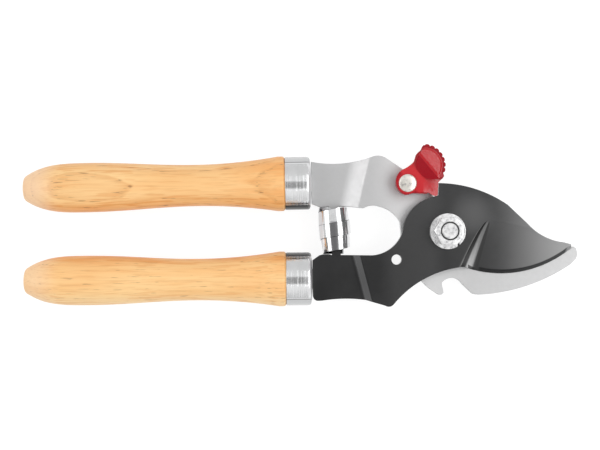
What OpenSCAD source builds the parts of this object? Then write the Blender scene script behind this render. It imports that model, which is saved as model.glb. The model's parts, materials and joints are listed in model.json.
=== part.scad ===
// Bypass pruning shears: two turned wooden handles with metal ferrules, a hooked
// counter blade, a cutting blade that turns on the pivot bolt, a volute spring
// and a thumb catch that holds the shears closed.
// Millimetres. The shears lie flat, closed: +X runs from the butts to the blade
// tips, +Z is up. The origin is under the middle of the shears, at table height.

/* [Handles] */
// Length of the wood of a handle
wood_len = 107.4; // [95:0.2:125]
// Diameter of the flat on the butt end
butt_d = 10.4; // [8:0.2:13]
// Diameter of the palm swell
swell_d = 20.4; // [18.6:0.2:24]
// Butt end to the middle of the palm swell
swell_at = 26; // [22:0.5:34]
// Diameter of the waist
waist_d = 17.1; // [15.5:0.1:18.5]
// Butt end to the waist
waist_at = 70.5; // [66:0.5:78]
// Diameter of the flare that meets the ferrule
flare_d = 22.6; // [22.3:0.1:25]

/* [Ferrules] */
// Outer diameter of a ferrule
ferrule_d = 22; // [20.5:0.1:22.2]
// Length of a ferrule
ferrule_len = 10.3; // [8:0.1:13]
// Wall of a ferrule
ferrule_wall = 0.9; // [0.6:0.1:1.4]
// Height of the crown on a ferrule's closed end
ferrule_crown = 0.5; // [0.3:0.1:0.8]

/* [Arms] */
// Pivot to the closed ends of the ferrules, along the handles
arm_reach = 56; // [52:0.5:62]
// Pivot to the upper handle's axis
upper_rise = 20.75; // [19.5:0.05:23]
// Pivot to the lower handle's axis
lower_drop = 18.7; // [17.5:0.05:21]
// Lean of each handle towards the other, in degrees
toe = 0.35; // [0:0.05:1]
// Thickness of both plates
plate_t = 3.5; // [3:0.1:4.2]
// Clearance between the two blades
blade_gap = 0.1; // [0.05:0.01:0.2]
// Width of a tang
tang_w = 8; // [6:0.5:10]
// Length of a tang inside its ferrule and handle
tang_len = 54; // [40:1:65]
// Length of the bend that steps the hook arm
hook_bend_len = 8.6; // [6:0.1:10]
// Length of the bend that steps the blade arm
blade_bend_len = 4.4; // [3.4:0.1:5]
// Diameter of the hanging hole in the blade arm
hang_d = 4.2; // [3:0.1:5]

/* [Blade] */
// Pivot to the middle of the cutting edge's arc, along the handles
edge_x = 23; // [22:0.1:24]
// Pivot to the middle of the cutting edge's arc, across the handles
edge_y = 27.9; // [27:0.1:29]
// Radius of the cutting edge
edge_r = 45.5; // [44.5:0.1:46.5]
// Width of the sharpened bevel
bevel_w = 1.4; // [0.8:0.1:2.2]
// Slope of the ground face of the blade
grind_slope = 4.6; // [3:0.1:5.5]
// Radius of the wheel that leaves the hollow where the grinding ends
wheel_r = 13; // [8:0.2:15]

/* [Pivot] */
// Diameter of the bolt's bearing shank
shank_d = 10; // [9:0.1:11]
// Across the two flats that hold the bolt in the hook arm
shank_flats = 8.4; // [8:0.1:8.8]
// Diameter of the bolt's threaded end
thread_d = 7; // [6:0.1:8.2]
// Diameter of the bolt's round head
head_d = 16; // [14:0.2:18]
// Height of the bolt's round head
head_h = 3.4; // [2.6:0.1:4.5]
// Across the flats of the nut
nut_flats = 11; // [10.4:0.1:13]
// Height of the nut
nut_h = 6; // [5:0.1:7]
// Outer diameter of the lock washer
lock_d = 14.6; // [13.5:0.1:15.5]
// Thickness of the lock washer
lock_t = 2; // [1.4:0.1:2.4]
// Length of thread that stands out of the nut
thread_out = 0.5; // [0.3:0.1:2]

/* [Catch] */
// Pivot to the catch rivet, along the handles
catch_x = -16.2; // [-16.8:0.1:-15.8]
// Pivot to the catch rivet, across the handles
catch_y = 19.9; // [19.6:0.1:20.6]
// Diameter of the rivet's head
rivet_head_d = 7.3; // [6.6:0.1:8.4]
// Height of the rivet's head
rivet_head_h = 1.3; // [1:0.1:1.8]
// Diameter of the rivet's shank
rivet_d = 4.6; // [4:0.1:5]
// Thickness of the catch above the blade arm
catch_t = 2; // [1.6:0.1:2.6]
// Height of the thumb pad's ridge above the catch
pad_h = 3; // [2:0.1:3.6]
// Slope of the thumb pad's top, down from its ridge
pad_slope = 10; // [4:1:14]
// Slope of the lug's top, down to its end
lug_slope = 10; // [4:1:12]
// Radius of the catch around its rivet
catch_r = 5.2; // [5:0.1:5.8]
// Teeth along the thumb edge
teeth = 7; // [5:1:9]

/* [Spring] */
// Ferrules' closed ends to the spring's axis
spring_at = 9.3; // [8.8:0.1:10.2]
// Width of the spring's strip
strip_w = 5.5; // [4.6:0.1:6.2]
// Thickness of the spring's strip
strip_t = 0.5; // [0.4:0.05:0.6]
// Outer diameter of the spring's widest turn
spring_d = 13.5; // [13:0.1:14.4]
// Outer diameter of the turns above and below the widest
spring_end_d = 12.1; // [11.6:0.1:12.6]
// Outer diameter of the end that curls inwards at the bottom
spring_core_d = 6.4; // [6:0.1:8]

/* [Hidden] */

$fn = 96;
// Clearance of a piece that is driven or pressed home
seat = 0.05;
// Radial clearance of a piece that turns
running = 0.05;
// Clearance between faces that turn past each other
side = 0.1;
// More than the length of any cut
far = 300;
// Overlap that keeps a cut clear of the face it starts on
eps = 0.01;

// Heights, from the plane where the blades pass each other
hook_top = -blade_gap / 2;
hook_bottom = hook_top - plate_t;
blade_bottom = blade_gap / 2;
blade_top = blade_bottom + plate_t;
lock_bottom = blade_top + side;
nut_bottom = lock_bottom + lock_t;
nut_top = nut_bottom + nut_h;

// The handles' axes lie in the middle of the tangs
ferrule_back = -arm_reach - ferrule_len;
butt_x = ferrule_back - wood_len;

// ---------- points and arcs ----------

function turned(p, a) = [p.x * cos(a) - p.y * sin(a), p.x * sin(a) + p.y * cos(a)];

// Middle of the circle through three points
function mid_of(a, m, b) =
    let (
        d = 2 * (a.x * (m.y - b.y) + m.x * (b.y - a.y) + b.x * (a.y - m.y)),
        qa = a * a,
        qm = m * m,
        qb = b * b
    )
    [
        (qa * (m.y - b.y) + qm * (b.y - a.y) + qb * (a.y - m.y)) / d,
        (qa * (b.x - m.x) + qm * (a.x - b.x) + qb * (m.x - a.x)) / d
    ];

// Points from a to b on the arc through m
function arc(a, m, b, n = 12) =
    let (
        c = mid_of(a, m, b),
        r = norm(a - c),
        start = atan2(a.y - c.y, a.x - c.x),
        left = (b.x - a.x) * (m.y - a.y) - (b.y - a.y) * (m.x - a.x) < 0,
        raw = atan2(b.y - c.y, b.x - c.x) - start,
        sweep = left ? (raw < 0 ? raw + 360 : raw) : (raw > 0 ? raw - 360 : raw)
    )
    [for (i = [0 : n]) c + r * [cos(start + sweep * i / n), sin(start + sweep * i / n)]];

// ---------- handles ----------

// Half a wave between two radii
function swing(a, b, t) = a + (b - a) * (1 - cos(180 * t)) / 2;

// The butt swells quickly, then levels off into the palm swell
butt_swell = 3.4;
butt_edge = 0.5;
// The flare reaches its full width a little before the ferrule
flare_short = 3;
flare_round = 0.8;
wood_steps = 14;

// Outline of the wood, from the butt at x = 0
function wood_outline() = concat(
    [[0, 0], [butt_d / 2 - butt_edge, 0]],
    [for (i = [0 : wood_steps]) let (t = pow(i / wood_steps, 1.5))
        [(swell_d - (swell_d - butt_d) * pow(1 - t, butt_swell)) / 2, butt_edge + (swell_at - butt_edge) * t]],
    [for (i = [1 : wood_steps]) let (t = i / wood_steps)
        [swing(swell_d, waist_d, t) / 2, swell_at + (waist_at - swell_at) * t]],
    [for (i = [1 : wood_steps]) let (t = i / wood_steps)
        [(waist_d + (flare_d - waist_d) * t * t) / 2, waist_at + (wood_len - flare_short - waist_at) * t]],
    [
        [flare_d / 2, wood_len - flare_round],
        [flare_d / 2 - flare_round, wood_len],
        [spigot_d() / 2, wood_len],
        [spigot_d() / 2, wood_len + spigot_len()],
        [0, wood_len + spigot_len()]
    ]
);

function spigot_d() = ferrule_d - 2 * (ferrule_wall + seat);
function spigot_len() = ferrule_len - ferrule_wall - seat;

// Turns a grip about the middle of its ferrule's closed end
module gripped(y, lean) {
    translate([-arm_reach, y, 0])
        rotate([0, 0, lean])
        translate([arm_reach, 0, 0])
        children();
}

// Slot for a tang, through the ferrule and into the wood
module tang_slot() {
    length = tang_len + seat;
    width = tang_w + 2 * seat;
    height = plate_t + 2 * seat;
    translate([-arm_reach - length, -width / 2, -height / 2])
        cube([length + far, width, height]);
}

module wood() {
    difference() {
        translate([butt_x, 0, 0])
            rotate([90, 0, 90])
            rotate_extrude()
            polygon(wood_outline());
        tang_slot();
    }
}

// Radius of the corner round a ferrule's closed end
ferrule_corner = 1.5;
corner_steps = 6;
crown_steps = 8;

// Cup with rounded corners and a crowned closed end
module ferrule() {
    r = ferrule_d / 2;
    inner = r - ferrule_wall;
    top_r = r - ferrule_corner;
    top_x = ferrule_len - ferrule_corner;
    difference() {
        translate([ferrule_back, 0, 0])
            rotate([90, 0, 90])
            rotate_extrude()
            polygon(concat(
                [[inner, 0], [r, 0]],
                [for (i = [0 : corner_steps]) let (a = 90 * i / corner_steps)
                    [top_r + ferrule_corner * cos(a), top_x + ferrule_corner * sin(a)]],
                [for (i = [1 : crown_steps]) let (t = 1 - i / crown_steps)
                    [top_r * t, ferrule_len + ferrule_crown * (1 - t * t)]],
                [[0, ferrule_len - ferrule_wall], [inner, ferrule_len - ferrule_wall]]
            ));
        tang_slot();
    }
}

// ---------- plates ----------

// Where the arms' shoulders meet the ferrules' crowns
shoulder_x = -arm_reach + ferrule_crown;
tang_point = 2;

// A tang's outline, from the shoulder below its axis to the shoulder above
function tang_outline(y, lean) = [
    for (p = [
        [ferrule_crown, -tang_w / 2],
        [-tang_len + tang_point, -tang_w / 2],
        [-tang_len, -tang_w / 2 + tang_point],
        [-tang_len, tang_w / 2 - tang_point],
        [-tang_len + tang_point, tang_w / 2],
        [ferrule_crown, tang_w / 2]
    ]) [-arm_reach, y] + turned(p, lean)
];

// A nib that centres an end of the spring, half its width each side
nib_w = 3.6;
nib_len = 2.4;
spring_x = -arm_reach + spring_at;
// The spring's lower end sits a little nearer the pivot
spring_lean = 1.1;

// Faces of the two arms where the spring presses, from the handles' axes
hook_seat = -9.9;
blade_seat = 9.6;
// Each face stands out a little on the ferrule's side of its nib
hook_lip = 0.3;
blade_lip = 0.4;

// Height reached at t along a ramp that eases in over the share a of its length
// and out over the share b, from 0 to 1
function ramp(t, a, b) =
    let (steepest = 1 / (1 - a / 2 - b / 2))
    t < a ? steepest * t * t / (2 * a)
    : t < 1 - b ? steepest * (t - a / 2)
    : 1 - steepest * (1 - t) * (1 - t) / (2 * b);

// Sheet that steps from the tang's height to z, with its bend across the point
// at, turned by slant, and eased in and out over shares of its length
bend_steps = 12;

module bent_sheet(at, slant, bend_len, z, ease_in, ease_out) {
    steps = bend_steps;
    rise = z + plate_t / 2;
    low = [for (i = [0 : steps]) let (t = i / steps)
        [bend_len * (t - 0.5), rise * ramp(t, ease_in, ease_out) - plate_t / 2]];
    high = [for (i = [steps : -1 : 0]) low[i] + [0, plate_t]];
    ends = [[far, z], [far, z + plate_t]];
    start = [[-far, plate_t / 2], [-far, -plate_t / 2]];
    translate([at.x, at.y, 0])
        rotate([0, 0, slant])
        rotate([90, 0, 0])
        linear_extrude(2 * far, center = true)
        polygon(concat(low, ends, high, start));
}

// Arcs of the hook arm, from the ferrule to the tip and back
hook_y = upper_rise;
hook_bend_at = [-arm_reach + 18.2, hook_y];
hook_slant = -14;
hook_hub_r = shank_d / 2 + 7.5;
hook_tip = [54.1, -9.4];

function hook_outline() = concat(
    // Upper edge of the arm: a shallow hollow, the hump, the slope under the catch
    tang_outline(hook_y, toe),
    arc([shoulder_x, hook_y + 8.8], [-arm_reach + 11, hook_y + 7.8], [-31.5, hook_y + 10.2]),
    arc([-29.6, hook_y + 10.9], [-27.2, hook_y + 11.1], [-24.6, hook_y + 10.3]),
    // Round the rivet and down to the blades
    arc([catch_x - 1.3, catch_y + 6.2], [catch_x + 4.6, catch_y + 4], [catch_x + 6, catch_y]),
    arc(turned([hook_hub_r, 0], 102), turned([hook_hub_r, 0], 45), turned([hook_hub_r, 0], -6)),
    // Shearing edge of the counter blade, hidden when the shears are closed
    arc([hook_hub_r + 0.3, -2], [28, -12], [52.6, -6.9], 20),
    arc([53.6, -7.6], hook_tip, [53.5, -12], 6),
    // Outer edge back to the notch
    arc([51.5, -14.1], [33, -22.9], [13, -26.3], 20),
    arc([11.2, -26.1], [10.3, -25.7], [9.6, -25.1], 4),
    arc([6.3, -21.8], [1.2, -19.3], [-2.2, -21.3], 10),
    arc([-1.4, -25.2], [-2.4, -26.1], [-4, -25.9], 6),
    // Beak, and the hidden edge up to the arm
    arc([-7.4, -23.5], [-15.5, -13], [-18.8, 1], 12),
    arc([-19.1, 4.3], [-21.7, 7.7], [-26, 10.3], 8),
    arc([-28.8, hook_y - 9.6], [-31.6, hook_y - 9.7], [-34, hook_y - 10.6], 6),
    // Seat of the spring with its nib
    [
        [-arm_reach + 16, hook_y + hook_seat],
        [spring_x + nib_w / 2, hook_y + hook_seat],
        [spring_x + nib_w / 2, hook_y + hook_seat - nib_len],
        [spring_x - nib_w / 2, hook_y + hook_seat - nib_len],
        [spring_x - nib_w / 2, hook_y + hook_seat],
        [-arm_reach + 4.2, hook_y + hook_seat - hook_lip],
        [shoulder_x, hook_y - 8.6]
    ]
);

module hook_plate() {
    intersection() {
        translate([0, 0, -far / 2])
            linear_extrude(far)
            polygon(hook_outline());
        bent_sheet(hook_bend_at, hook_slant, hook_bend_len, hook_bottom, 0.5, 0.08);
    }
}

// Arcs of the blade arm, from the ferrule to the point and back
blade_y = -lower_drop;
blade_bend_at = [-arm_reach + 20.5, blade_y];
blade_slant = 14;
hang_at = [-21, blade_y + 7.4];
edge_c = [edge_x, edge_y];

// Point of the cutting edge, or of stock outside it, at x
function edge_at(x, stock = 0) = [x, edge_y - sqrt(pow(edge_r + stock, 2) - pow(x - edge_x, 2))];

edge_stock = 1;
blade_point = edge_at(51.4);
heel = edge_at(8.5);
shoulder_low = [-3.4, 14.9];
shoulder_high = [-3.1, 19.9];

function blade_outline() = concat(
    tang_outline(blade_y, -toe),
    // Upper edge of the arm, with the seat and nib of the spring
    [
        [shoulder_x, blade_y + 7.6],
        [-arm_reach + 3.4, blade_y + blade_seat],
        [-arm_reach + 5, blade_y + blade_seat + blade_lip],
        [-arm_reach + 7.5, blade_y + blade_seat + blade_lip],
        [spring_x + spring_lean - nib_w / 2, blade_y + blade_seat],
        [spring_x + spring_lean - nib_w / 2, blade_y + blade_seat + nib_len],
        [spring_x + spring_lean + nib_w / 2, blade_y + blade_seat + nib_len],
        [spring_x + spring_lean + nib_w / 2, blade_y + blade_seat]
    ],
    // Hollow up to the hub, the hub and the shoulder that the catch meets
    arc([-30.8, blade_y + 9.3], [-23.4, blade_y + 11.9], [-18.9, -1.4]),
    arc([-18.3, 0.3], [-15.1, 8.3], [-5.9, 14.2]),
    [shoulder_low],
    // Back of the blade
    arc(shoulder_high, [12.7, 17], [25, 10.6], 16),
    arc([33, 2.8], [38, -1.6], [48, -5.2], 10),
    arc([50.1, -5.8], [51.3, -6.6], blade_point, 4),
    // Stock outside the cutting edge, which is cut to its true arc
    arc(edge_at(blade_point.x, edge_stock), edge_c - [0, edge_r + edge_stock], edge_at(heel.x + eps, edge_stock), 8),
    [heel],
    // Lower edge of the arm
    arc([7.4, -14.8], [5.9, -14.7], [4, -14.95], 4),
    arc([2.4, -15.2], [-11.2, -20.2], [-22.4, -29.6], 14),
    arc([-23.2, blade_y - 11.6], [-24.5, blade_y - 11.9], [-26.1, blade_y - 11.4], 4),
    arc([-34, blade_y - 9], [-arm_reach + 13, blade_y - 8.4], [-arm_reach + 4, blade_y - 9.1], 8),
    arc([-arm_reach + 3, blade_y - 9.1], [shoulder_x + 0.5, blade_y - 8.4], [shoulder_x, blade_y - 7.1], 6)
);

// Where the ground face leaves the flat of the blade
grind_at = [17.7, 4.6];
grind_turn = -12.3;
// Direction of the wheel's hollow, from the line where the ground face starts
wheel_turn = -94.7;
// The wheel bites this much deeper than the ground face
wheel_bite = 0.02;

// Everything above the ground face, up to the wheel's hollow on its left
module grinding() {
    translate([grind_at.x, grind_at.y, blade_top])
        rotate([0, 0, grind_turn])
        rotate([grind_slope, 0, 0])
        rotate([0, 0, wheel_turn])
        union() {
            translate([-far / 2, 0, 0])
                cube(far);
            translate([0, 0, wheel_r - wheel_bite])
                rotate([0, 90, 0])
                cylinder(h = far, r = wheel_r, center = true);
        }
}

// Everything outside the cutting edge's arc and above its sharpened bevel,
// which is a cone round the middle of the arc
module beyond_edge() {
    edge_t = 0.3;
    rise = 2.4;
    intersection() {
        translate([edge_x, edge_y, 0])
            rotate_extrude($fn = 180)
            polygon([
                [edge_r, -far], [edge_r + far, -far],
                [edge_r + far, far], [edge_r - bevel_w, far],
                [edge_r - bevel_w, blade_bottom + rise], [edge_r, blade_bottom + edge_t]
            ]);
        translate([heel.x, -far, -far / 2])
            cube([far, far, far]);
    }
}

module blade_plate() {
    difference() {
        intersection() {
            translate([0, 0, -far / 2])
                linear_extrude(far)
                polygon(blade_outline());
            bent_sheet(blade_bend_at, blade_slant, blade_bend_len, blade_bottom, 0.5, 0.17);
        }
        grinding();
        beyond_edge();
    }
}

// ---------- catch ----------

washer_t = 0.5;
catch_low = hook_top + side + washer_t;
catch_mid = blade_top + side;
catch_top = catch_mid + catch_t;
// The hub under the lever is set in from the lever's edge
hub_r = catch_r - 0.6;

// The lug's tooth ends against the shoulder of the blade arm
lug_end = shoulder_high.x - catch_x - side;
lug_low = shoulder_low.y - catch_y + side;
lug_high = shoulder_high.y - catch_y + 0.6;
// The lever above it stops a little short
lug_short = 0.7;

// Thumb tab: an arc of rounded teeth
tab_c = [6.8, 7.1];
tab_r = 8.95;
tooth_depth = 0.6;
tab_from = -21;
tab_to = 87;
tab_steps = 6;
lobe_fullness = 0.6;

function thumb_edge() =
    [for (i = [0 : teeth * tab_steps]) let (
        a = tab_from + (tab_to - tab_from) * i / (teeth * tab_steps),
        lobe = pow(abs(sin(180 * i / tab_steps)), lobe_fullness)
    ) tab_c + (tab_r - tooth_depth * (1 - lobe)) * [cos(a), sin(a)]];

// The lever seen from above, round the rivet
function lever_outline() = concat(
    arc([-1.8, catch_r + 0.5], [-catch_r + 0.4, 0.4], [-1, -catch_r + 0.4], 14),
    arc([0.1, -catch_r + 0.6], [4.7, -3.8], [8.8, lug_low + 0.8], 8),
    [
        [10.2, lug_low - 0.1],
        [lug_end - lug_short - 0.7, lug_low - 0.5],
        [lug_end - lug_short, lug_low - 0.1],
        [lug_end - lug_short + 0.5, lug_high - 0.3],
        [14.3, 1.7],
        [15, 2.7]
    ],
    thumb_edge(),
    [[6.9, 15.6], [6.3, 15], [5.6, 13.5], [4.3, 12.4], [3.5, 11.4], [3.2, 10.3]],
    arc([2.7, 8.8], [0.9, 7.2], [-1.5, 5.8], 6)
);

// The thumb pad that stands on the lever, behind a slope. Its top falls away
// from the ridge.
pad_r = tab_r - 1.6;
pad_turn = 39;
pad_from = 6;
pad_to = 10.7;

function pad_outline() = concat(
    arc(tab_c + turned([pad_r, 0], -22), tab_c + turned([pad_r, 0], 33), tab_c + turned([pad_r, 0], 88), 20),
    [[5.9, 13.2], [4.7, 11.8], [3.9, 10.2]],
    arc([3.3, 7.6], [5.3, 3.4], [12.9, 1.9], 8),
    [[14, 2.2], [14.3, 2.9]]
);

module pad() {
    difference() {
        linear_extrude(pad_h)
            polygon(pad_outline());
        rotate([0, 0, pad_turn])
            translate([pad_from, -far / 2, 0])
            rotate([0, -atan2(pad_h, pad_to - pad_from), 0])
            translate([-far / 2, 0, 0])
            cube(far);
        rotate([0, 0, pad_turn])
            translate([pad_to, -far / 2, pad_h])
            rotate([0, pad_slope, 0])
            translate([-far / 2, 0, 0])
            cube(far);
    }
}

// Everything above the lug's sloping top, which ends at the pad's foot
lug_fold = 6.4;
pad_foot = 1.5;

module above_lug() {
    intersection() {
        translate([lug_fold, 0, catch_t])
            rotate([0, lug_slope, 0])
            translate([0, -far / 2, 0])
            cube(far);
        translate([lug_fold, -far, 0])
            cube([far, far + pad_foot, far]);
    }
}

// Tooth under the lug that stands in front of the blade arm's shoulder. Its
// face slants, so that it swings past the shoulder as the shears open.
tooth_top = lug_end - 0.4;
tooth_low = tooth_top - 4.6;
tooth_inset = 0.6;

function tooth_outline() = [
    [0, -hub_r + tooth_inset],
    [tooth_low, lug_low + tooth_inset],
    [tooth_top, lug_high - tooth_inset],
    [tooth_top, lug_high],
    [6, 3],
    [0, hub_r - tooth_inset]
];

module catch_solid() {
    difference() {
        union() {
            translate([0, 0, catch_low])
                cylinder(h = catch_mid - catch_low + eps, r = hub_r);
            translate([0, 0, catch_low])
                linear_extrude(catch_mid - catch_low + eps)
                polygon(tooth_outline());
            translate([0, 0, catch_mid])
                difference() {
                    linear_extrude(catch_t)
                        polygon(lever_outline());
                    above_lug();
                }
            translate([0, 0, catch_top - eps])
                pad();
        }
        translate([0, 0, -far / 2])
            cylinder(h = far, r = rivet_d / 2 + running);
    }
}

// ---------- spring ----------

spring_low = blade_y + blade_seat + blade_lip + side;
spring_high = hook_y + hook_seat - hook_lip - side;
ring_steps = 36;
// Gap between one turn and the next
turn_gap = 0.15;
// The bottom turns that curl inwards without a rise, the turns of full width, and
// the top turn that tapers out with its upper edge flush
curl_turns = 0.5;
full_turns = (spring_high - spring_low - strip_w) / (strip_w + turn_gap);
flush_turns = 0.85;
turns = curl_turns + full_turns + flush_turns;
// Where round the axis the strip's upper end lies
strip_end = 102;
// How far the strip leans in at its lower and its upper edge, over its width
lean_low = -0.5;
lean_high = 0.45;

// Outer radius of the strip after u turns
function strip_r(u) = lookup(u, [
    [0, spring_core_d / 2],
    [curl_turns, spring_end_d / 2 - 0.4],
    [curl_turns + 0.4, spring_end_d / 2],
    [curl_turns + 0.65 * full_turns, spring_d / 2],
    [curl_turns + full_turns, spring_end_d / 2]
]);

function strip_corner(u, inset, up) =
    let (
        a = strip_end + 360 * (turns - u),
        lean = lookup(u, [[curl_turns, lean_low], [curl_turns + full_turns, lean_high]]),
        y = min(spring_high, spring_low + up + max(0, u - curl_turns) * (strip_w + turn_gap)),
        r = strip_r(u) - inset - lean * (up / strip_w - 0.5),
        shift = spring_lean * (spring_high - y) / (spring_high - spring_low)
    )
    [spring_x + shift + r * cos(a), y, r * sin(a)];

module volute() {
    n = round(turns * ring_steps);
    corners = [for (i = [0 : n]) let (u = turns * i / n) each [
        strip_corner(u, 0, 0), strip_corner(u, 0, strip_w),
        strip_corner(u, strip_t, strip_w), strip_corner(u, strip_t, 0)
    ]];
    sides = [for (i = [0 : n - 1]) for (j = [0 : 3])
        [4 * i + j, 4 * i + (j + 1) % 4, 4 * (i + 1) + (j + 1) % 4, 4 * (i + 1) + j]];
    polyhedron(
        points = corners,
        faces = concat([[3, 2, 1, 0]], sides, [[4 * n, 4 * n + 1, 4 * n + 2, 4 * n + 3]])
    );
}

// ---------- placing ----------

low_z = max(flare_d / 2, swell_d / 2, -hook_bottom + head_h);
tip_x = hook_tip.x;
mid_x = (butt_x + tip_x) / 2;
top_y = catch_y + max([for (p = lever_outline()) p.y]);
bottom_y = min([for (p = blade_outline()) p.y]);
mid_y = (top_y + bottom_y) / 2;

module placed() {
    translate([-mid_x, -mid_y, low_z])
        children();
}

// ---------- pieces ----------

module hook_arm() {
    color("silver")
        placed()
        difference() {
            hook_plate();
            intersection() {
                translate([0, 0, -far / 2])
                    cylinder(h = far, r = shank_d / 2 + seat);
                translate([-far / 2, -shank_flats / 2 - seat, -far / 2])
                    cube([far, shank_flats + 2 * seat, far]);
            }
            translate([catch_x, catch_y, -far / 2])
                cylinder(h = far, r = rivet_d / 2 + seat);
        }
}

module blade_arm() {
    color([0.2, 0.2, 0.21])
        placed()
        difference() {
            blade_plate();
            translate([0, 0, -far / 2])
                cylinder(h = far, r = shank_d / 2 + running);
            translate([hang_at.x, hang_at.y, -far / 2])
                cylinder(h = far, r = hang_d / 2);
        }
}

module upper_ferrule() {
    color("gainsboro")
        placed()
        gripped(upper_rise, toe)
        ferrule();
}

module lower_ferrule() {
    color("gainsboro")
        placed()
        gripped(-lower_drop, -toe)
        ferrule();
}

module upper_handle() {
    color("peru")
        placed()
        gripped(upper_rise, toe)
        wood();
}

module lower_handle() {
    color("peru")
        placed()
        gripped(-lower_drop, -toe)
        wood();
}

module pivot_bolt() {
    // The head's face, its dome and its rounded rim
    face_inset = 2;
    rim_inset = 0.6;
    dome = 0.8;
    rim = 0.8;
    chamfer = 0.7;
    end_z = nut_top + thread_out;
    color("lightgray")
        placed()
        union() {
            // Low round head under the hook arm
            translate([0, 0, hook_bottom - head_h])
                rotate_extrude()
                polygon([
                    [0, 0], [head_d / 2 - face_inset, 0], [head_d / 2 - rim_inset, dome],
                    [head_d / 2, dome + rim], [head_d / 2, head_h], [0, head_h]
                ]);
            // Neck with two flats, then the bearing shank
            intersection() {
                translate([0, 0, hook_bottom - eps])
                    cylinder(h = plate_t + 2 * eps, r = shank_d / 2);
                translate([-far / 2, -shank_flats / 2, -far / 2])
                    cube([far, shank_flats, far]);
            }
            translate([0, 0, hook_top])
                cylinder(h = lock_bottom - hook_top, r = shank_d / 2);
            translate([0, 0, lock_bottom - eps])
                cylinder(h = end_z - chamfer - lock_bottom + eps, r = thread_d / 2);
            translate([0, 0, end_z - chamfer])
                rotate_extrude()
                polygon([[0, 0], [thread_d / 2, 0], [thread_d / 2 - chamfer, chamfer], [0, chamfer]]);
        }
}

module lock_washer() {
    // The split runs aslant through the middle of the ring's width, from the hole out
    split_w = 1;
    split_at = -44;
    split_slant = -35;
    ring_r = (lock_d + thread_d) / 4;
    color("gray")
        placed()
        difference() {
            translate([0, 0, lock_bottom])
                cylinder(h = lock_t, r = lock_d / 2);
            translate([0, 0, lock_bottom - far / 2])
                cylinder(h = far, r = thread_d / 2 + seat);
            rotate([0, 0, split_at])
                translate([ring_r, 0, 0])
                rotate([0, 0, split_slant])
                translate([-ring_r * cos(split_slant), -split_w / 2, -far / 2])
                cube([far, split_w, far]);
        }
}

module pivot_nut() {
    across = nut_flats / cos(30);
    // The chamfers leave round faces, and are turned from round stock
    face_r = nut_flats / 2 - 0.35;
    chamfer_slope = 0.63;
    stock_r = across / 2 + 0.5;
    drop = chamfer_slope * (stock_r - face_r);
    flat_turn = -3;
    sink = 0.3;
    color("lightgray")
        placed()
        translate([0, 0, nut_bottom])
        difference() {
            intersection() {
                rotate([0, 0, flat_turn])
                    cylinder(h = nut_h, d = across, $fn = 6);
                rotate_extrude()
                    polygon([
                        [0, 0], [face_r, 0], [stock_r, drop],
                        [stock_r, nut_h - drop], [face_r, nut_h], [0, nut_h]
                    ]);
            }
            translate([0, 0, -eps])
                cylinder(h = nut_h + 2 * eps, r = thread_d / 2 + seat);
            translate([0, 0, nut_h - sink])
                rotate_extrude()
                polygon([[0, 0], [thread_d / 2 + seat, 0], [thread_d / 2 + sink, sink + eps], [0, sink + eps]]);
        }
}

module catch_lever() {
    color([0.75, 0.1, 0.14])
        placed()
        translate([catch_x, catch_y, 0])
        catch_solid();
}

module catch_washer() {
    washer_inset = 0.3;
    color("gray")
        placed()
        translate([catch_x, catch_y, hook_top])
        difference() {
            cylinder(h = washer_t, r = hub_r - washer_inset);
            translate([0, 0, -eps])
                cylinder(h = washer_t + 2 * eps, r = rivet_d / 2 + seat);
        }
}

module catch_rivet() {
    under = catch_top + side;
    // The riveted-over foot below the hook arm
    foot_h = 0.9;
    foot_lip = 1;
    // The head's dome stands on a short upright rim
    rim = 0.5;
    dome = rivet_head_h - rim;
    dome_steps = 6;
    r = rivet_head_d / 2;
    color("whitesmoke")
        placed()
        translate([catch_x, catch_y, 0])
        union() {
            translate([0, 0, hook_bottom - foot_h])
                cylinder(h = foot_h, r = rivet_d / 2 + foot_lip);
            translate([0, 0, hook_bottom - eps])
                cylinder(h = under - hook_bottom + 2 * eps, r = rivet_d / 2);
            translate([0, 0, under])
                rotate_extrude()
                polygon(concat(
                    [[0, 0], [r, 0]],
                    [for (i = [0 : dome_steps - 1]) let (a = 90 * i / dome_steps)
                        [r * cos(a), rim + dome * sin(a)]],
                    [[0, rivet_head_h]]
                ));
        }
}

module spring() {
    color("lightgray")
        placed()
        volute();
}

hook_arm();
upper_ferrule();
upper_handle();
blade_arm();
lower_ferrule();
lower_handle();
pivot_bolt();
lock_washer();
pivot_nut();
catch_lever();
catch_washer();
catch_rivet();
spring();
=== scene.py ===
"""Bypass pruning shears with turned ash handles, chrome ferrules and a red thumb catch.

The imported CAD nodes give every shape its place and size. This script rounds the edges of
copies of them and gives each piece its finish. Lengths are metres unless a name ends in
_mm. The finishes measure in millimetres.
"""

import json
import math

import bpy
from mathutils import Matrix, Vector

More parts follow.
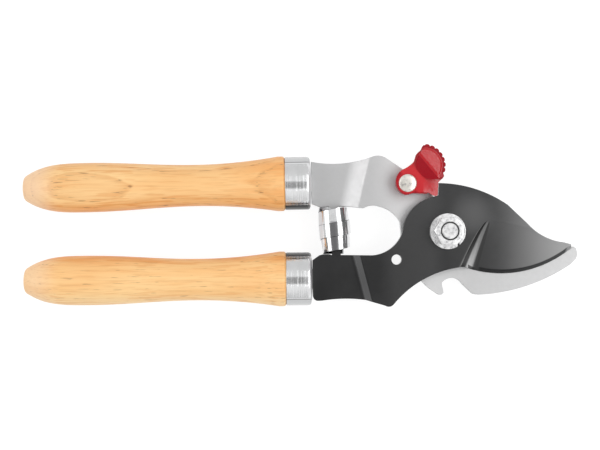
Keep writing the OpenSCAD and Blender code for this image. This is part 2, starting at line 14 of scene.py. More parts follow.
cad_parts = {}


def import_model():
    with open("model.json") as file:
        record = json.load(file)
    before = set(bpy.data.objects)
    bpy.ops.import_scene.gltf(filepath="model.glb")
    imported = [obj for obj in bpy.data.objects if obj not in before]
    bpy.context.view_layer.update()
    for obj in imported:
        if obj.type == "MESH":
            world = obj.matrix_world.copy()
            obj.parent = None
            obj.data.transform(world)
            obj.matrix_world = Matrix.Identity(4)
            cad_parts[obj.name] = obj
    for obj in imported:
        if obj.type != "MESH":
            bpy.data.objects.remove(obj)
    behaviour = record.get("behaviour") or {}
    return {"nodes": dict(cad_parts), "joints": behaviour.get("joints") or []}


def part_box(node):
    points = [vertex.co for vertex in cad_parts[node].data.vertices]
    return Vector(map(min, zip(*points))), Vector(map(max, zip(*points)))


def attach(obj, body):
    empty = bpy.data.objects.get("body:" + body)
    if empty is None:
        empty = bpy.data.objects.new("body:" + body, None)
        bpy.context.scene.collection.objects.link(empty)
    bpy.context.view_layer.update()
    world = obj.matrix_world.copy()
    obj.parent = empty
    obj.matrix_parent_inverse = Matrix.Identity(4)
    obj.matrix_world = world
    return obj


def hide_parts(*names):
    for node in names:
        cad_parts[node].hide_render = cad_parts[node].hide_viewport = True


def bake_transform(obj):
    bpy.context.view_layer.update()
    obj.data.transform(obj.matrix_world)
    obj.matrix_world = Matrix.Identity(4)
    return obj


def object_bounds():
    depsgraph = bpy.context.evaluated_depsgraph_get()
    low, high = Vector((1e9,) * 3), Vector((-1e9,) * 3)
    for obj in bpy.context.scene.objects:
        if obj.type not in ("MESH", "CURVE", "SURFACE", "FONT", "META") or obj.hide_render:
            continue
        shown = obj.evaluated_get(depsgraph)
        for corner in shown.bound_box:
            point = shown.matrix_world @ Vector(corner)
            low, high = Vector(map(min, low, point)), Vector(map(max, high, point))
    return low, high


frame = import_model()
cad_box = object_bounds()

MM = 0.001
JOINTS = {joint["name"]: joint for joint in frame["joints"]}
PIVOT = Vector(JOINTS["blade_pivot"]["pos_m"])
CATCH = Vector(JOINTS["catch_pivot"]["pos_m"])

# How far each handle toes in
TOE = math.radians(0.35)
# Each handle's name and body, its turn from +X, and the way in Y to the other handle
SIDES = (("upper", "hook_side", TOE, -1), ("lower", "blade_side", -TOE, 1))


# ---------- modelling helpers ----------

# Corners closer than this are one corner, and faces that turn by less than this are one face
SAME_CORNER = 0.002 * MM
SAME_FACE = math.radians(0.3)


def nothing_selected():
    """Leaves no object selected, because operators act on all that is."""
    bpy.ops.object.select_all(action="DESELECT")


def only(piece):
    """Makes piece the one selected and active object."""
    nothing_selected()
    piece.select_set(True)
    bpy.context.view_layer.objects.active = piece


def copy_of(node, name):
    """A copy of a CAD node's mesh as a closed skin with shared corners and whole flat faces."""
    source = frame["nodes"][node]
    piece = bpy.data.objects.new(name, source.data.copy())
    bpy.context.scene.collection.objects.link(piece)
    only(piece)
    bpy.ops.mesh.customdata_custom_splitnormals_clear()
    bpy.ops.object.mode_set(mode="EDIT")
    bpy.ops.mesh.select_all(action="SELECT")
    bpy.ops.mesh.remove_doubles(threshold=SAME_CORNER)
    bpy.ops.mesh.dissolve_limited(angle_limit=SAME_FACE)
    bpy.ops.object.mode_set(mode="OBJECT")
    piece.data.materials.clear()
    return piece


def smooth(piece, angle=35):
    """Shades a piece smooth, except over edges sharper than angle, in degrees."""
    only(piece)
    bpy.ops.object.shade_smooth_by_angle(angle=math.radians(angle))
    return piece


def rounded(piece, width_mm, segments=3, angle=35):
    """Rounds the edges sharper than angle, and keeps the broad faces between them flat."""
    smooth(piece, angle)
    bevel = piece.modifiers.new("edges", "BEVEL")
    bevel.harden_normals = True
    bevel.width = width_mm * MM
    bevel.segments = segments
    bevel.limit_method = "ANGLE"
    bevel.angle_limit = math.radians(angle)
    bevel.use_clamp_overlap = True
    steady = piece.modifiers.new("steady", "WEIGHTED_NORMAL")
    steady.keep_sharp = True
    only(piece)
    bpy.ops.object.modifier_apply(modifier=bevel.name)
    bpy.ops.object.modifier_apply(modifier=steady.name)
    return piece


def dress(piece, material, node, body=None):
    """Gives a piece its finish, its body if it has one alone, and the CAD node it stands for."""
    piece.data.materials.append(material)
    if body:
        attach(piece, body)
    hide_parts(node)


# ---------- node helpers ----------


def blank(name):
    """A new material with its node tree and its shader."""
    made = bpy.data.materials.new(name)
    made.use_nodes = True
    return made, made.node_tree, made.node_tree.nodes["Principled BSDF"]


def add(tree, kind, inputs=None, **settings):
    """A node of that kind. Inputs are values or other nodes' outputs, by name or number."""
    node = tree.nodes.new(kind)
    for key, value in settings.items():
        setattr(node, key, value)
    for key, value in (inputs or {}).items():
        if isinstance(value, bpy.types.NodeSocket):
            tree.links.new(value, node.inputs[key])
        else:
            node.inputs[key].default_value = value
    return node


def math_of(tree, operation, a, b=0.0, clamp=False):
    """The value that a Math node makes of a and b."""
    inputs = {0: a, 1: b}
    return add(tree, "ShaderNodeMath", inputs, operation=operation, use_clamp=clamp).outputs[0]


def times(tree, a, b):
    """The product of two values."""
    return math_of(tree, "MULTIPLY", a, b)


def larger(tree, a, b):
    """The larger of two values."""
    return math_of(tree, "MAXIMUM", a, b)


def vector_of(tree, operation, a, b):
    """The vector that a Vector Math node makes of a and b."""
    return add(tree, "ShaderNodeVectorMath", {0: a, 1: b}, operation=operation).outputs[0]


def axes(tree, place):
    """The X, Y and Z of a place."""
    return add(tree, "ShaderNodeSeparateXYZ", {0: place}).outputs


def in_plan(tree, place):
    """A place with its height left out."""
    return vector_of(tree, "MULTIPLY", place, (1, 1, 0))


def reach(tree, place):
    """How far a place lies from the point that it is measured from."""
    return add(tree, "ShaderNodeVectorMath", {0: place}, operation="LENGTH").outputs["Value"]


def span(tree, value, low, high, to_low=0.0, to_high=1.0):
    """Value carried smoothly from low..high to to_low..to_high."""
    inputs = {"Value": value, "From Min": low, "From Max": high, "To Min": to_low, "To Max": to_high}
    return add(tree, "ShaderNodeMapRange", inputs, interpolation_type="SMOOTHSTEP").outputs[0]


def band(tree, value, low, high, soft):
    """1 where value lies between low and high, falling to 0 over soft on each side."""
    rising = span(tree, value, low - soft, low)
    falling = span(tree, value, high, high + soft, 1.0, 0.0)
    return times(tree, rising, falling)


def mixed(tree, share, a, b, blend="MIX"):
    """Colour b laid over colour a by share."""
    node = add(tree, "ShaderNodeMix", data_type="RGBA", blend_type=blend)
    for socket, value in ((0, share), (6, a), (7, b)):
        if isinstance(value, bpy.types.NodeSocket):
            tree.links.new(value, node.inputs[socket])
        else:
            node.inputs[socket].default_value = value
    return node.outputs[2]


def grain(tree, vector, scale, detail=2.0, roughness=0.5):
    """Noise with about scale lumps for each unit of vector."""
    inputs = {"Vector": vector, "Scale": scale, "Detail": detail, "Roughness": roughness}
    return add(tree, "ShaderNodeTexNoise", inputs).outputs["Fac"]


def grey(level):
    """A neutral colour."""
    return (level, level, level, 1)


def shades_of(tree, value, stops):
    """Greys along value, from stops of position and level. The first stop is at 0."""
    node = add(tree, "ShaderNodeValToRGB", {0: value})
    elements = node.color_ramp.elements
    elements.remove(elements[1])
    elements[0].color = grey(stops[0][1])
    for position, level in stops[1:]:
        elements.new(position).color = grey(level)
    return node.outputs[0]


def millimetres(tree, centre=(0, 0, 0), lean=0.0):
    """Object coordinates in millimetres from centre, turned back by lean about Z."""
    coords = add(tree, "ShaderNodeTexCoord").outputs["Object"]
    about = vector_of(tree, "SUBTRACT", coords, tuple(centre))
    turned = {"Vector": about, "Rotation": (0, 0, -lean), "Scale": (1 / MM, 1 / MM, 1 / MM)}
    return add(tree, "ShaderNodeMapping", turned).outputs[0]


def bump(tree, shader, height, distance_mm, strength=1.0):
    """Relief in the surface, and in any clear coat over it."""
    relief = {"Height": height, "Distance": distance_mm * MM, "Strength": strength}
    normal = add(tree, "ShaderNodeBump", relief).outputs[0]
    tree.links.new(normal, shader.inputs["Normal"])
    tree.links.new(normal, shader.inputs["Coat Normal"])


# ---------- finishes ----------

# Nearly all the values of a noise lie between these
NOISE = (0.3, 0.7)

# Colours of lacquered ash
ASH = {
    "deep": (0.97, 0.575, 0.24, 1),
    "pale": (1.0, 0.65, 0.30, 1),
    "warm": (0.92, 0.42, 0.13, 1),
    "flare": (0.93, 0.45, 0.14, 1),
    "light": (1.0, 0.72, 0.38, 1),
    "early": (0.78, 0.37, 0.12, 1),
    "streak": (0.8, 0.34, 0.09, 1),
    "fibre": (0.76, 0.39, 0.14, 1),
    "pore": (0.3, 0.13, 0.045, 1),
    "butt": (0.93, 0.66, 0.45, 1),
}
# How each handle's rings lie, where its noise starts, and how strongly each mark shows
WOOD = {
    "upper": {
        "flat_rings": True, "seed_mm": 3.1, "inner_side": 0.6, "outer_side": 0.4, "flare": 0.8,
        "early": 0.5, "streaks": 0.75, "pores": 0.75, "butt": 0.65,
    },
    "lower": {
        "flat_rings": False, "seed_mm": 41.7, "inner_side": 1.0, "outer_side": 0.0, "flare": 0.4,
        "early": 0.15, "streaks": 0.45, "pores": 0.5, "butt": 0.45,
    },
}
# How open the wood is through one growth ring, as stops from its start to its end
RING = ((0.0, 0.1), (0.1, 1.0), (0.3, 0.45), (0.65, 0.1), (1.0, 0.0))
RING_GAP_MM = 2.3
RING_WANDER_MM = 3.4
# Flat rings bow by this times the square of the way across
RING_BOW = 0.022
# Rings on edge lean by this for each millimetre up
RING_LEAN = 0.35
# The butt is pale as far as the first of these from its end, and fades until the second
BUTT_MM = (4.4, 16.4)


def ash_wood(name, node, lean, inward, marks):
    """Lacquered ash, turned from a split billet. The growth rings lie flat or on edge, and
    their open pores show as short dark dashes wherever the turning cuts through a ring."""
    made, tree, shader = blank(name)
    low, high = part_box(node)
    at = millimetres(tree, (low + high) / 2, lean)
    along, across, up = axes(tree, at)
    drift = vector_of(tree, "ADD", at, (marks["seed_mm"],) * 3)

    def fibres(along_scale, cross_scale, detail=2.0):
        """Noise drawn out along the handle."""
        stretched = vector_of(tree, "MULTIPLY", drift, (along_scale, cross_scale, cross_scale))
        return grain(tree, stretched, 1.0, detail)

    # Depth through the growth rings
    wander = times(tree, math_of(tree, "SUBTRACT", fibres(0.035, 0.12), 0.5), RING_WANDER_MM)
    if marks["flat_rings"]:
        depth = math_of(tree, "ADD", up, times(tree, times(tree, across, across), RING_BOW))
    else:
        depth = math_of(tree, "ADD", across, times(tree, up, RING_LEAN))
    depth = math_of(tree, "ADD", depth, wander)
    phase = math_of(tree, "FRACT", math_of(tree, "DIVIDE", depth, RING_GAP_MM))
    early = shades_of(tree, phase, RING)

    base = mixed(tree, span(tree, fibres(0.02, 0.16), 0.35, 0.65), ASH["deep"], ASH["pale"])
    # Warmer towards the ferrule, and where the turning runs along the sides
    inner = times(tree, across, inward)
    inner_side = span(tree, inner, 5.5, 9.8, 0.0, marks["inner_side"])
    outer_side = span(tree, inner, -6.5, -9.8, 0.0, marks["outer_side"])
    flare = span(tree, along, 12, 50, 0.0, marks["flare"])
    warm = larger(tree, flare, larger(tree, inner_side, outer_side))
    warm = times(tree, warm, span(tree, fibres(0.04, 0.3), 0.3, 0.6))
    base = mixed(tree, warm, base, ASH["warm"])
    if marks["flat_rings"]:
        # Warmer still at the ferrule, most of all on the outer side
        outer_flare = span(tree, math_of(tree, "SUBTRACT", along, inner), 16, 46, 0.0, 0.28)
        base = mixed(tree, outer_flare, base, ASH["flare"])
    else:
        # Painted light along the outer side
        outer_half = span(tree, inner, -4.0, -9.0, 0.0, 0.8)
        base = mixed(tree, outer_half, base, ASH["light"])
    # Soft streaks of the early wood
    base = mixed(tree, times(tree, early, marks["early"]), base, ASH["early"])
    # Short warm streaks, most of them near the sides
    most = marks["streaks"]
    edges = span(tree, math_of(tree, "ABSOLUTE", across), 2.0, 8.0, most / 3, most)
    short = span(tree, fibres(0.07, 0.95, 1.0), 0.56, 0.66)
    base = mixed(tree, times(tree, short, edges), base, ASH["streak"])
    # Fibres
    fine = span(tree, fibres(0.06, 1.6, 3.0), 0.48, 0.75, 0.0, 0.45)
    base = mixed(tree, fine, base, ASH["fibre"])
    # Pores
    dash = span(tree, fibres(0.16, 2.1, 1.0), 0.6, 0.68)
    pores = times(tree, dash, span(tree, early, 0.3, 0.9))
    base = mixed(tree, times(tree, pores, marks["pores"]), base, ASH["pore"])
    # Pale sanded end grain at the butt, with a painted highlight over it
    half_length = (high.x - low.x) / 2 / MM
    butt = span(tree, along, BUTT_MM[0] - half_length, BUTT_MM[1] - half_length, 1.0, 0.0)
    base = mixed(tree, times(tree, butt, marks["butt"]), base, ASH["butt"])
    tree.links.new(base, shader.inputs["Base Color"])
    shader.inputs["Roughness"].default_value = 0.5
    shader.inputs["Specular IOR Level"].default_value = 0.4
    shader.inputs["Coat Weight"].default_value = 0.12
    shader.inputs["Coat Roughness"].default_value = 0.3
    height = math_of(tree, "SUBTRACT", fibres(0.05, 1.2, 3.0), pores)
    bump(tree, shader, height, 0.04, 0.5)
    return made


def spring_chrome():
    """Polished plating, with painted dark reflections on the flank that faces the handles
    and on the lower turns.
    """
    bright = (0.8, 0.805, 0.81, 1)
    brightest = (0.86, 0.865, 0.87, 1)
    reflected_dark = (0.55, 0.545, 0.56, 1)
    made, tree, shader = blank("spring_chrome")
    at = millimetres(tree)
    along, across, _ = axes(tree, at)
    base = mixed(tree, span(tree, grain(tree, at, 0.4, 3.0), *NOISE), bright, brightest)
    # Painted dark reflections on the flank and on the front of the lower turns
    flank = span(tree, along, 8.4, 9.2, 0.75, 0.0)
    front = times(tree, band(tree, along, 11.9, 14.5, 0.3), span(tree, across, 1.9, 2.5, 1.0, 0.0))
    base = mixed(tree, larger(tree, flank, front), base, reflected_dark)
    tree.links.new(base, shader.inputs["Base Color"])
    shader.inputs["Metallic"].default_value = 1.0
    rough = span(tree, grain(tree, at, 0.6, 4.0), *NOISE, 0.1, 0.15)
    tree.links.new(rough, shader.inputs["Roughness"])
    return made


def satin_steel():
    """Blasted spring steel with faint clouds, brightest between the arm's bend and the hub."""
    tang = (0.605, 0.605, 0.608, 1)
    brightest = (0.72, 0.72, 0.722, 1)
    hook = (0.6, 0.6, 0.602, 1)
    made, tree, shader = blank("satin_steel")
    at = millimetres(tree, PIVOT)
    along = axes(tree, at)[0]
    base = mixed(tree, span(tree, along, -33, -20), tang, brightest)
    base = mixed(tree, span(tree, along, -12, 12), base, hook)
    clouds = span(tree, grain(tree, at, 0.12, 3.0), 0.35, 0.75, 0.0, 0.12)
    base = mixed(tree, clouds, base, grey(0.5))
    tree.links.new(base, shader.inputs["Base Color"])
    shader.inputs["Metallic"].default_value = 1.0
    rough = span(tree, grain(tree, at, 0.6, 4.0), *NOISE, 0.52, 0.58)
    tree.links.new(rough, shader.inputs["Roughness"])
    bump(tree, shader, grain(tree, at, 5.0, 3.0, 0.6), 0.012, 0.6)
    return made


THREAD_RADIUS_MM = 3.5
# The mark of the punch on the rivet's head, from the rivet's middle
PUNCH_MM = Vector((-1.1, -0.5, 0))


def bright_zinc():
    """Zinc plate with a soft mottle. Painted shade darkens the thread where the nut ends, and
    the rivet's head is warmer in tone and keeps the mark of its punch."""
    clouded = (0.76, 0.76, 0.77, 1)
    warmer = (0.9, 0.86, 0.79, 1)
    punched = (0.35, 0.36, 0.35, 1)
    made, tree, shader = blank("bright_zinc")
    at = millimetres(tree, PIVOT)
    up = axes(tree, at)[2]
    base = mixed(tree, span(tree, grain(tree, at, 0.8, 3.0), 0.3, 0.6), clouded, grey(1))
    on_head = span(tree, reach(tree, millimetres(tree, CATCH)), 5.5, 6.0, 1.0, 0.0)
    base = mixed(tree, on_head, base, warmer, "MULTIPLY")
    # The end of the bolt, and painted shade in the ring of thread round it
    radius = reach(tree, in_plan(tree, at))
    bolt_end = span(tree, radius, THREAD_RADIUS_MM - 0.3, THREAD_RADIUS_MM - 0.1, 0.1, 0.0)
    base = mixed(tree, bolt_end, base, grey(0.3))
    ring = band(tree, radius, THREAD_RADIUS_MM - 0.25, THREAD_RADIUS_MM + 0.25, 0.15)
    nut_top = (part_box("pivot_nut")[1].z - PIVOT.z) / MM
    thread = times(tree, ring, span(tree, up, nut_top - 1.05, nut_top - 0.65))
    base = mixed(tree, times(tree, thread, 0.92), base, grey(0.09))
    from_punch = reach(tree, in_plan(tree, millimetres(tree, CATCH + PUNCH_MM * MM)))
    base = mixed(tree, span(tree, from_punch, 0.2, 0.7, 0.6, 0.0), base, punched)
    tree.links.new(base, shader.inputs["Base Color"])
    shader.inputs["Metallic"].default_value = 0.65
    rough = span(tree, grain(tree, at, 0.8, 4.0), *NOISE, 0.27, 0.4)
    tree.links.new(rough, shader.inputs["Roughness"])
    bump(tree, shader, grain(tree, at, 2.2, 3.0, 0.6), 0.02, 0.6)
    return made


def turned_chrome(name, node, lean, inward):
    """Bright plating over a cup that was polished while it turned, so fine lines run round it."""
    plating = (0.86, 0.865, 0.87, 1)
    brightest = (0.92, 0.925, 0.93, 1)
    reflected_grey = (0.7, 0.705, 0.71, 1)
    reflected_dark = (0.45, 0.455, 0.46, 1)
    reflected_black = (0.03, 0.03, 0.029, 1)
    worn = (0.5, 0.505, 0.51, 1)
    made, tree, shader = blank(name)
    low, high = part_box(node)
    at = millimetres(tree, (low + high) / 2, lean)
    along, across, _ = axes(tree, at)
    base = mixed(tree, span(tree, grain(tree, at, 0.2, 3.0), *NOISE), plating, brightest)
    # Painted dark reflection on the side away from the other ferrule, behind a faint painted dark line
    outward = times(tree, across, -inward)
    base = mixed(tree, band(tree, outward, 7.4, 8.1, 0.4), base, reflected_grey)
    base = mixed(tree, span(tree, outward, 8.0, 8.5, 0.0, 0.85), base, reflected_dark)
    faint = times(tree, band(tree, outward, 8.05, 8.3, 0.25), 0.85)
    base = mixed(tree, faint, base, grey(0.28))
    # A painted dark reflection along the side that faces the other ferrule
    streak = times(tree, band(tree, outward, -10.7, -9.45, 0.4), 0.96)
    base = mixed(tree, streak, base, reflected_black)
    # The rim at the plate's end is worn
    half_length = (high.x - low.x) / 2 / MM
    rim = span(tree, along, half_length - 1.8, half_length - 0.8)
    base = mixed(tree, times(tree, rim, 0.3), base, worn)
    tree.links.new(base, shader.inputs["Base Color"])
    shader.inputs["Metallic"].default_value = 1.0
    tree.links.new(span(tree, rim, 0, 1, 0.16, 0.4), shader.inputs["Roughness"])
    # Scratches hardly change round the cup and change quickly along it
    wander = times(tree, grain(tree, at, 0.5, 2.0), 0.1)
    along_only = add(tree, "ShaderNodeCombineXYZ", {0: math_of(tree, "ADD", along, wander)}).outputs[0]
    bump(tree, shader, grain(tree, along_only, 2.6, 3.0, 0.7), 0.13, 0.8)
    return made


# The middle of the painted sheen and the top of the wheel's hollow, from the pivot
SHEEN_MM = Vector((10.5, 7, 0))
HOLLOW_MM = Vector((17.7, 4.6, 0))
# The line where the hollow meets the ground face, turned from +X
HOLLOW_TURN = math.radians(-107)
# The square of the hollow's width grows by this for each millimetre down the line
HOLLOW_SPREAD_MM = 2.09
# Painted reflections across the hollow, as greys at stops over twice its width from the line
HOLLOW_REFLECTIONS = (
    (0.0, 0.07), (0.08, 0.06), (0.13, 0.2), (0.29, 0.18),
    (0.34, 0.03), (0.46, 0.025), (0.485, 0.22), (0.52, 0.09),
)
# The cutting edge's arc, with its middle from the pivot, and the sharpened bevel along it
EDGE_MIDDLE_MM = (23, 27.9, 0)
EDGE_RADIUS_MM = 45.5
BEVEL_WIDTH_MM = 1.4
BEVEL_ENDS_MM = (13.7, 48.5)


def black_coating():
    """Graphite non-stick coating with a fine orange peel. Painted reflections lighten it towards
    the point of the blade and lie in light and dark bands across the wheel's hollow."""
    dark = (0.07, 0.07, 0.071, 1)
    clouded = (0.084, 0.084, 0.085, 1)
    neck = (0.108, 0.108, 0.109, 1)
    painted_sheen = (0.165, 0.165, 0.166, 1)
    bevel_reflection = (0.035, 0.035, 0.036, 1)
    made, tree, shader = blank("black_coating")
    at = millimetres(tree, PIVOT)
    along, _, up = axes(tree, at)
    base = mixed(tree, span(tree, grain(tree, at, 0.09, 2.0), *NOISE), dark, clouded)
    # Painted light between the hanging hole and the nut, and a painted reflection towards the point
    base = mixed(tree, band(tree, along, -20, -8, 9), base, neck)
    base = mixed(tree, span(tree, along, 14, 50), base, grey(0.33))
    # A painted sheen, lighter between the nut and the back of the blade
    from_sheen = reach(tree, millimetres(tree, PIVOT + SHEEN_MM * MM))
    base = mixed(tree, span(tree, from_sheen, 3, 12, 0.8, 0.0), base, painted_sheen)

    # Painted reflections in the wheel's hollow: down along its line, and to the left of it as a share
    # of its width
    down, right, _ = axes(tree, millimetres(tree, PIVOT + HOLLOW_MM * MM, HOLLOW_TURN))
    width = math_of(tree, "SQRT", times(tree, larger(tree, down, 0.05), HOLLOW_SPREAD_MM))
    share = math_of(tree, "DIVIDE", times(tree, right, -1.0), width)
    shades = shades_of(tree, times(tree, share, 0.5), HOLLOW_REFLECTIONS)
    inside = times(tree, band(tree, share, -0.08, 1.05, 0.1), span(tree, down, 0.4, 2.2))
    on_top = span(tree, up, 0.3, 0.8)
    base = mixed(tree, times(tree, inside, on_top), base, shades)

    # Painted dark reflection on the sharpened bevel, right along the cutting edge
    from_middle = reach(tree, in_plan(tree, vector_of(tree, "SUBTRACT", at, EDGE_MIDDLE_MM)))
    start = EDGE_RADIUS_MM - BEVEL_WIDTH_MM
    near_edge = span(tree, from_middle, start - 0.5, start)
    bevel = times(tree, near_edge, band(tree, along, *BEVEL_ENDS_MM, 1.5))
    base = mixed(tree, bevel, base, bevel_reflection)
    tree.links.new(base, shader.inputs["Base Color"])
    shader.inputs["Metallic"].default_value = 1.0
    peel = grain(tree, at, 2.4, 4.0, 0.6)
    tree.links.new(span(tree, peel, *NOISE, 0.28, 0.33), shader.inputs["Roughness"])
    bump(tree, shader, peel, 0.004, 0.5)
    return made


# Way up the slope of the thumb pad, turned from +X, and the middle of its toothed arc
PAD_TURN = math.radians(39)
PAD_MIDDLE_MM = Vector((6.8, 7.1, 0))


def red_paint():
    """Thick gloss paint over a casting, with a slight orange peel. Painted shade darkens the slope
    and the rim round the thumb pad, whose outer edge is well rounded."""
    red = (0.45, 0.008, 0.014, 1)
    clouded = (0.5, 0.011, 0.018, 1)
    near_rivet = (0.57, 0.012, 0.019, 1)
    shaded_red = (0.36, 0.003, 0.012, 1)
    made, tree, shader = blank("red_paint")
    at = millimetres(tree, CATCH)
    up = axes(tree, at)[2]
    up_slope = axes(tree, millimetres(tree, CATCH, PAD_TURN))[0]
    from_rivet = reach(tree, at)
    from_middle = reach(tree, in_plan(tree, millimetres(tree, CATCH + PAD_MIDDLE_MM * MM)))
    outer = span(tree, up_slope, 10.7, 11.7)
    base = mixed(tree, span(tree, grain(tree, at, 0.35, 2.0), *NOISE), red, clouded)
    base = mixed(tree, span(tree, from_rivet, 6, 9, 1.0, 0.0), base, near_rivet)
    # Painted shade on the slope, the rim, and the side of the hub away from the pad
    slope = times(tree, band(tree, up_slope, 6.2, 10.5, 0.3), span(tree, up, 0.75, 1.1))
    rim = times(tree, span(tree, from_middle, 7.1, 7.5), outer)
    hub = times(tree, span(tree, from_rivet, 4.1, 4.5), span(tree, up_slope, 1.5, 0.0))
    deep = larger(tree, larger(tree, slope, rim), hub)
    base = mixed(tree, deep, base, shaded_red)
    tree.links.new(base, shader.inputs["Base Color"])
    shader.inputs["Roughness"].default_value = 0.4
    shader.inputs["Specular IOR Level"].default_value = 0.1
    tree.links.new(span(tree, deep, 0, 1, 1.0, 0.5), shader.inputs["Coat Weight"])
    shader.inputs["Coat Roughness"].default_value = 0.14
    shoulder = times(tree, span(tree, from_middle, 6.2, 7.4, 0.4, 0.0), outer)
    peel = times(tree, grain(tree, at, 0.9, 2.0), 0.03)
    bump(tree, shader, math_of(tree, "ADD", shoulder, peel), 1.0, 0.8)
    return made


# ---------- pieces ----------


def handles():
    """The two turned grips."""
    for side, body, lean, inward in SIDES:
        node = side + "_handle"
        wood = ash_wood(side + "_ash", node, lean, inward, WOOD[side])
        piece = rounded(copy_of(node, side + "_grip"), 0.25, 2)
        dress(piece, wood, node, body)


def ferrules():
    """The metal cup on each handle."""
    for side, body, lean, inward in SIDES:
        node = side + "_ferrule"
        chrome = turned_chrome(side + "_chrome", node, lean, inward)
        piece = rounded(copy_of(node, side + "_cup"), 0.15, 2)
        dress(piece, chrome, node, body)


def plates():
    """The steel plate with the hook and the coated plate with the blade."""
    hook = rounded(copy_of("hook_arm", "hook_plate"), 0.3)
    dress(hook, satin_steel(), "hook_arm", "hook_side")
    blade = rounded(copy_of("blade_arm", "blade_plate"), 0.3)
    dress(blade, black_coating(), "blade_arm", "blade_side")


def catch():
    """The thumb catch."""
    lever = rounded(copy_of("catch_lever", "thumb_catch"), 0.35)
    dress(lever, red_paint(), "catch_lever", "catch")


def fasteners():
    """The pivot's bolt, nut and lock washer, and the catch's rivet and washer."""
    zinc = bright_zinc()
    for node, name, edge_mm in (
        ("pivot_bolt", "pivot_screw", 0.12),
        ("pivot_nut", "hex_nut", 0.12),
        ("lock_washer", "split_washer", 0.2),
        ("catch_rivet", "catch_pin", 0.15),
        ("catch_washer", "thin_washer", 0.08),
    ):
        piece = rounded(copy_of(node, name), edge_mm, 2)
        dress(piece, zinc, node, "hook_side")


def spring():
    """The volute spring, which meets the hook's arm at its top and the blade's at its foot."""
    piece = smooth(copy_of("spring", "volute"), 40)
    dress(piece, spring_chrome(), "spring")
    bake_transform(piece)


# ---------- stage, light and camera ----------

# What the camera sees from side to side at the pivot's height, and how far above that it is
VIEW_WIDTH = 0.24811
VIEW_DISTANCE = 0.45
# Its turn about the way it looks, and how far it leans from straight down, in radians
VIEW_TURN = -0.01402
LEAN_X = 0.00541
LEAN_Y = 0.02445
AIM = Vector((-0.00062, 0.00092, PIVOT.z))

FLOOR_SIZE = 8
# The floor's glow and tone where it is seen, and its tone where light bounces off it
FLOOR_GLOW = 0.83
FLOOR_SEEN = 0.27
FLOOR_BOUNCE = 0.9

# Each lamp's distance from the shears, and its length along Y
LAMP_DISTANCE = 0.7
LAMP_LENGTH = 0.8

# The dark card over the shears, its middle and its sides
CARD_MIDDLE = (-0.1, -0.075, 0.5)
CARD_SIZE = (0.56, 0.27, 1)


def camera():
    """Looks straight down, apart from a slight lean and turn."""
    data = bpy.data.cameras.new("camera")
    data.sensor_width = 36
    data.lens = data.sensor_width * VIEW_DISTANCE / VIEW_WIDTH
    seen = bpy.data.objects.new("camera", data)
    bpy.context.scene.collection.objects.link(seen)
    turn = Matrix.Rotation(VIEW_TURN, 4, "Z")
    lean = Matrix.Rotation(-LEAN_X, 4, "Y") @ Matrix.Rotation(LEAN_Y, 4, "X")
    back = Matrix.Translation((0, 0, VIEW_DISTANCE))
    seen.matrix_world = Matrix.Translation(AIM) @ turn @ lean @ back
    data.clip_start = 0.01
    data.clip_end = 20
    bpy.context.scene.camera = seen


def seen_directly(tree):
    """1 where the eye, polished metal or glass sees the surface, 0 where light bounces off it."""
    path = add(tree, "ShaderNodeLightPath").outputs
    either = math_of(tree, "ADD", path["Is Camera Ray"], path["Is Glossy Ray"])
    return math_of(tree, "ADD", either, path["Is Transmission Ray"], clamp=True)


def floor():
    """A wide pale sheet under the shears, nearly white to the eye."""
    bpy.ops.mesh.primitive_plane_add(size=FLOOR_SIZE, location=(0, 0, cad_box[0].z))
    sheet = bpy.context.object
    sheet.name = "floor"
    made, tree, shader = blank("pale_floor")
    shader.inputs["Roughness"].default_value = 0.9
    shader.inputs["Specular IOR Level"].default_value = 0.1
    seen = seen_directly(tree)
    tone = mixed(tree, seen, grey(FLOOR_BOUNCE), grey(FLOOR_SEEN))
    tree.links.new(tone, shader.inputs["Base Color"])
    shader.inputs["Emission Color"].default_value = grey(1)
    tree.links.new(times(tree, seen, FLOOR_GLOW), shader.inputs["Emission Strength"])
    sheet.data.materials.append(made)


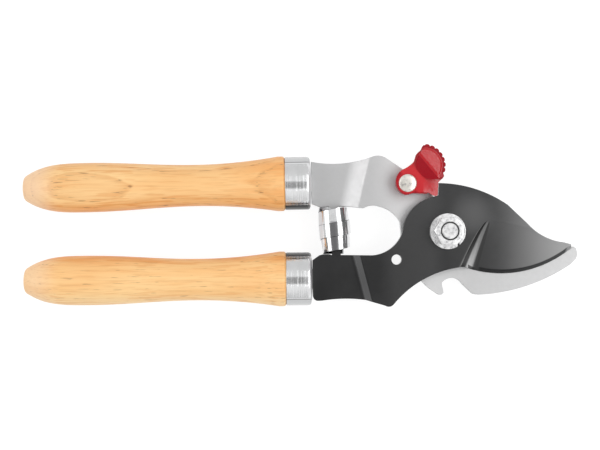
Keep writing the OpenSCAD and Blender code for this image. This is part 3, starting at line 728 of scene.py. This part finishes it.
def softbox(name, angle, width, radiance):
    """A long soft light beside the shears, at angle from straight up, towards +X."""
    data = bpy.data.lights.new(name, "AREA")
    data.shape = "RECTANGLE"
    data.size = width
    data.size_y = LAMP_LENGTH
    data.energy = radiance * math.pi * width * LAMP_LENGTH
    lamp = bpy.data.objects.new(name, data)
    bpy.context.scene.collection.objects.link(lamp)
    tilt = Matrix.Rotation(math.radians(angle), 4, "Y")
    lamp.matrix_world = tilt @ Matrix.Translation((0, 0, LAMP_DISTANCE))
    lamp.visible_camera = False


def dark_bar():
    """The dark gap between the overhead lights, seen only in polished metal."""
    bpy.ops.mesh.primitive_plane_add(size=1, location=CARD_MIDDLE)
    card = bpy.context.object
    card.name = "dark_bar"
    card.scale = CARD_SIZE
    bpy.ops.object.transform_apply(location=True, rotation=True, scale=True)
    made, tree, shader = blank("dark_card")
    shader.inputs["Base Color"].default_value = grey(0.03)
    shader.inputs["Roughness"].default_value = 0.9
    shader.inputs["Emission Color"].default_value = grey(1)
    along = axes(tree, millimetres(tree))[0]
    tree.links.new(span(tree, along, -60, 130, 0.21, 0.27), shader.inputs["Emission Strength"])
    card.data.materials.append(made)
    for rays in ("camera", "diffuse", "shadow", "transmission"):
        setattr(card, "visible_" + rays, False)


def world():
    """White behind the shears, and a grey studio round them."""
    sky = bpy.data.worlds.new("studio")
    sky.use_nodes = True
    tree = sky.node_tree
    ground = tree.nodes["Background"]
    direction = add(tree, "ShaderNodeTexCoord").outputs["Generated"]
    x, y, _ = axes(tree, direction)
    # Greyer towards +Y, and dark low down towards +X and towards the corner of -X and -Y
    level = span(tree, y, -0.2, 0.9, 0.85, 0.64)
    low_right = span(tree, x, 0.76, 0.88)
    low_left = span(tree, math_of(tree, "ADD", x, y), -0.95, -1.2)
    dim = times(tree, larger(tree, low_right, low_left), 0.8)
    level = times(tree, level, math_of(tree, "SUBTRACT", 1.0, dim))
    seen = add(tree, "ShaderNodeLightPath").outputs["Is Camera Ray"]
    shade = add(tree, "ShaderNodeCombineColor", {0: level, 1: level, 2: level}).outputs[0]
    tree.links.new(mixed(tree, seen, shade, grey(1)), ground.inputs["Color"])
    bpy.context.scene.world = sky


handles()
ferrules()
plates()
catch()
fasteners()
spring()
floor()
softbox("right_light", 40, 0.34, 2.2)
softbox("left_light", -54, 0.4, 1.1)
dark_bar()
world()
camera()
nothing_selected()

bpy.context.scene.view_settings.view_transform = "Standard"
